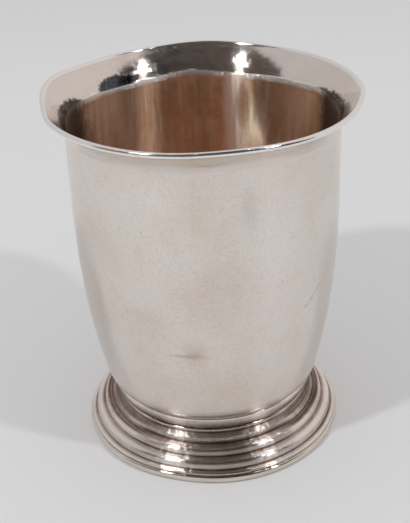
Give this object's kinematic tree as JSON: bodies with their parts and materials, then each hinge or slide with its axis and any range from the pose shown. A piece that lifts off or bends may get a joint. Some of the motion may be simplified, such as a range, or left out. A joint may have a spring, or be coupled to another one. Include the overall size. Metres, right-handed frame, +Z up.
{
  "type": "footed timbale",
  "caption": "Silver drinking cup: a bowl with a flared lip tapers in to a collared foot of stepped round mouldings and stands on a rounded base wire.",
  "frame": {"origin": "centre of the base, on the surface that the cup stands on", "axes": "+Z up along the axis that every piece is turned about; X and Y in the plane of the base"},
  "size_m": [0.0758, 0.0758, 0.09],
  "materials": {
    "bowl_silver": "polished silver with light tarnish and fine wear scratches, browner inside",
    "foot_silver": "polished silver, tarnished dark in the valleys of the mouldings",
    "solder": "dull silver solder, darkened in the joints"
  },
  "bodies": {
    "root": {"bowl": "bowl_silver", "collar": "foot_silver", "foot": "foot_silver", "base_wire": "foot_silver", "bowl_solder": "solder", "collar_solder": "solder", "base_solder": "solder"}
  },
  "joints": []
}
